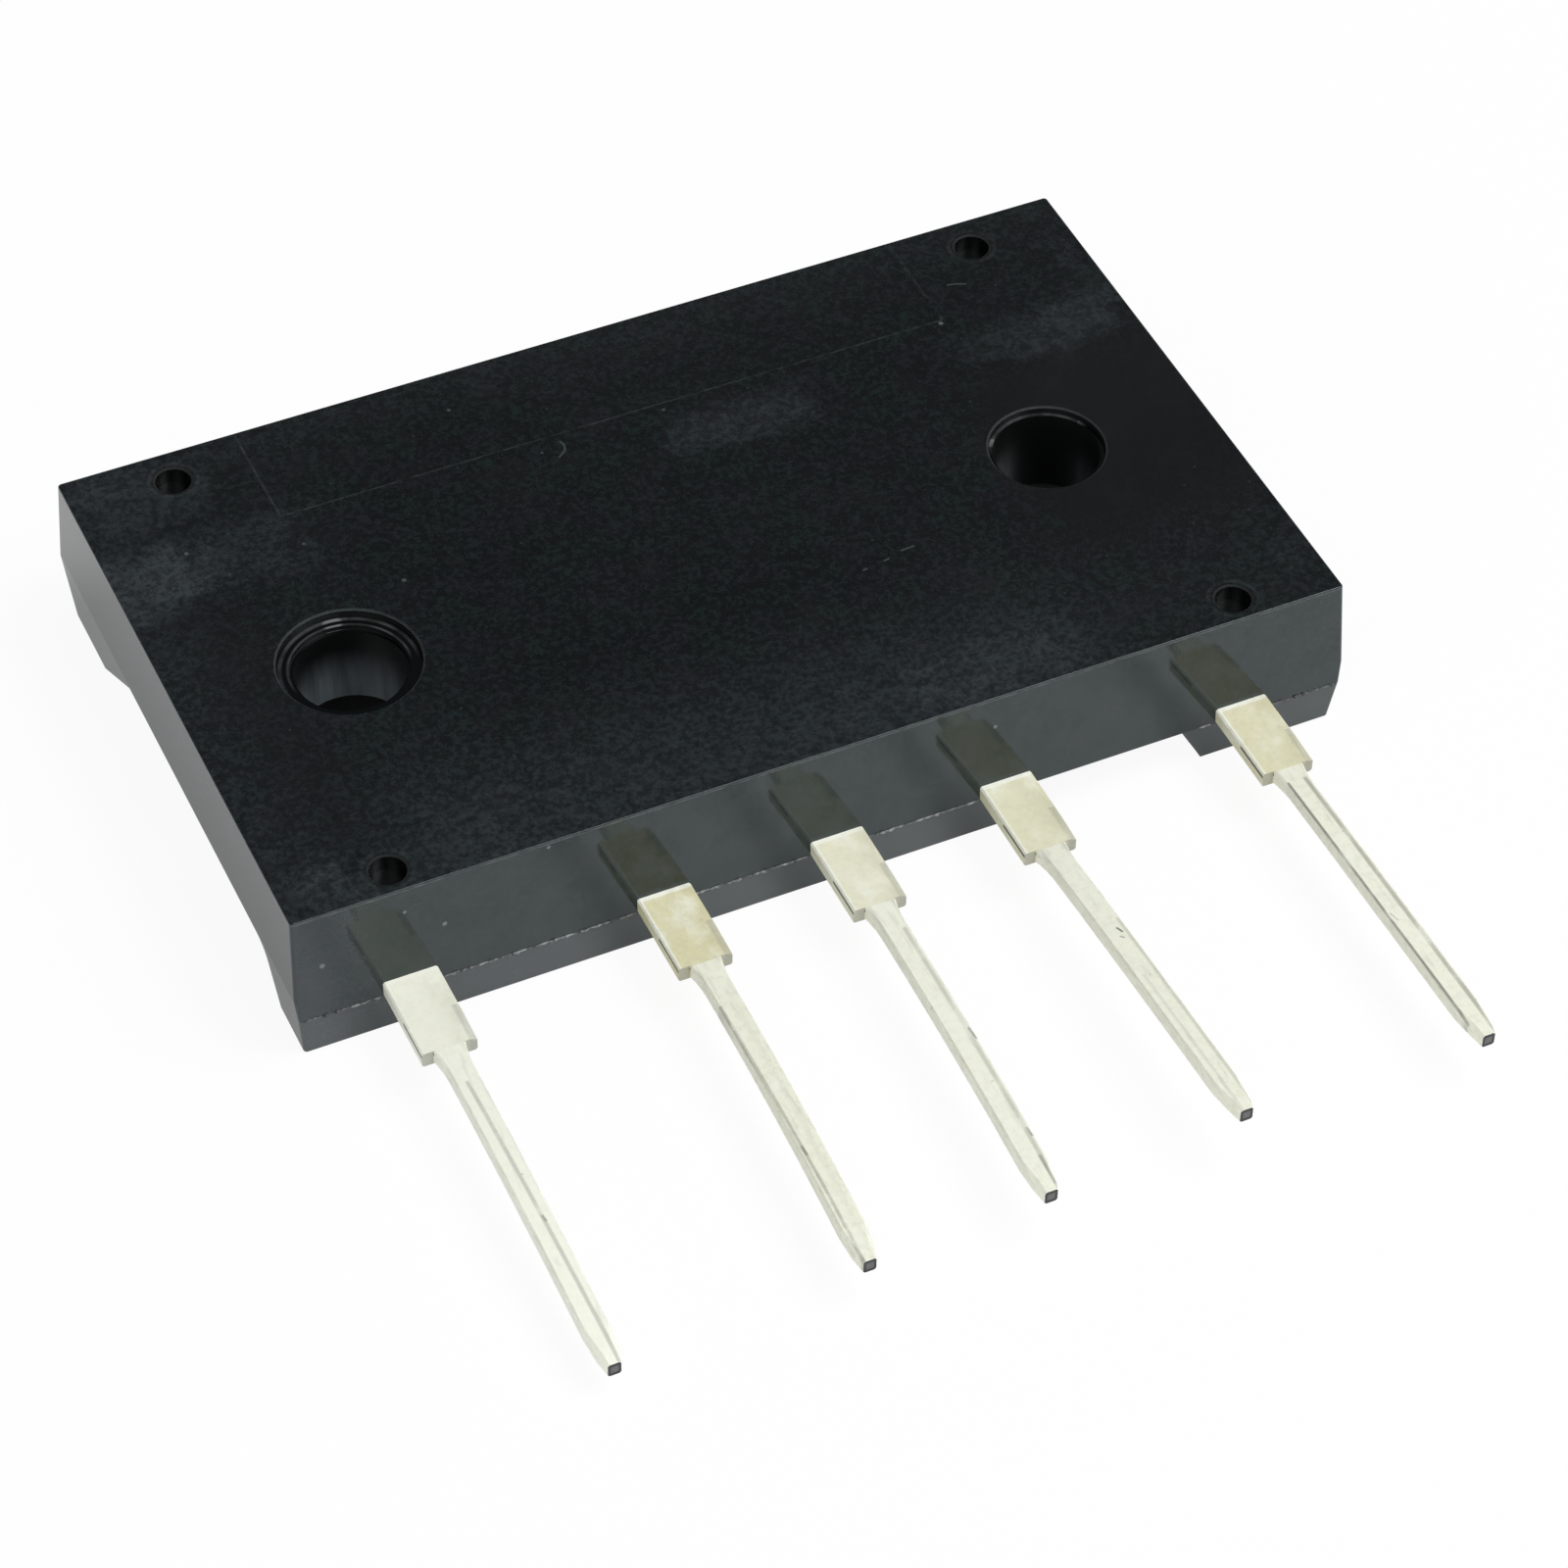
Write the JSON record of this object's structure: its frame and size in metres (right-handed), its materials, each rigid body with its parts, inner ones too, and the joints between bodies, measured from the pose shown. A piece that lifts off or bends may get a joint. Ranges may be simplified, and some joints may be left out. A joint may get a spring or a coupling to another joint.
{
  "type": "bridge rectifier",
  "caption": "Flat three-phase bridge rectifier: moulded body with two screw holes and a row of straight leads for a circuit board.",
  "frame": {"origin": "middle of the underside, on the surface that the part lies on", "axes": "+X along the row of leads, leads point to -Y, +Z out of the heat-sink face"},
  "size_m": [0.0428, 0.0442, 0.0068],
  "materials": {
    "resin": "satin black epoxy moulding",
    "tinned_copper": "tin-plated copper, slightly yellowed",
    "silicon": "polished silicon",
    "copper_clip": "bare copper",
    "solder": "dull solder"
  },
  "bodies": {
    "root": {"ac_clip_1": "copper_clip", "ac_clip_2": "copper_clip", "ac_clip_3": "copper_clip", "ac_foot_solder": "solder", "chip_clip_solder": "solder", "chip_pad_solder": "solder", "diode_chip_high_1": "silicon", "diode_chip_high_2": "silicon", "diode_chip_high_3": "silicon", "diode_chip_low_1": "silicon", "diode_chip_low_2": "silicon", "diode_chip_low_3": "silicon", "lead_ac_1": "tinned_copper", "lead_ac_2": "tinned_copper", "lead_ac_3": "tinned_copper", "lead_minus": "tinned_copper", "lead_plus": "tinned_copper", "minus_clip": "copper_clip", "minus_foot_solder": "solder", "moulded_body": "resin"}
  },
  "joints": []
}
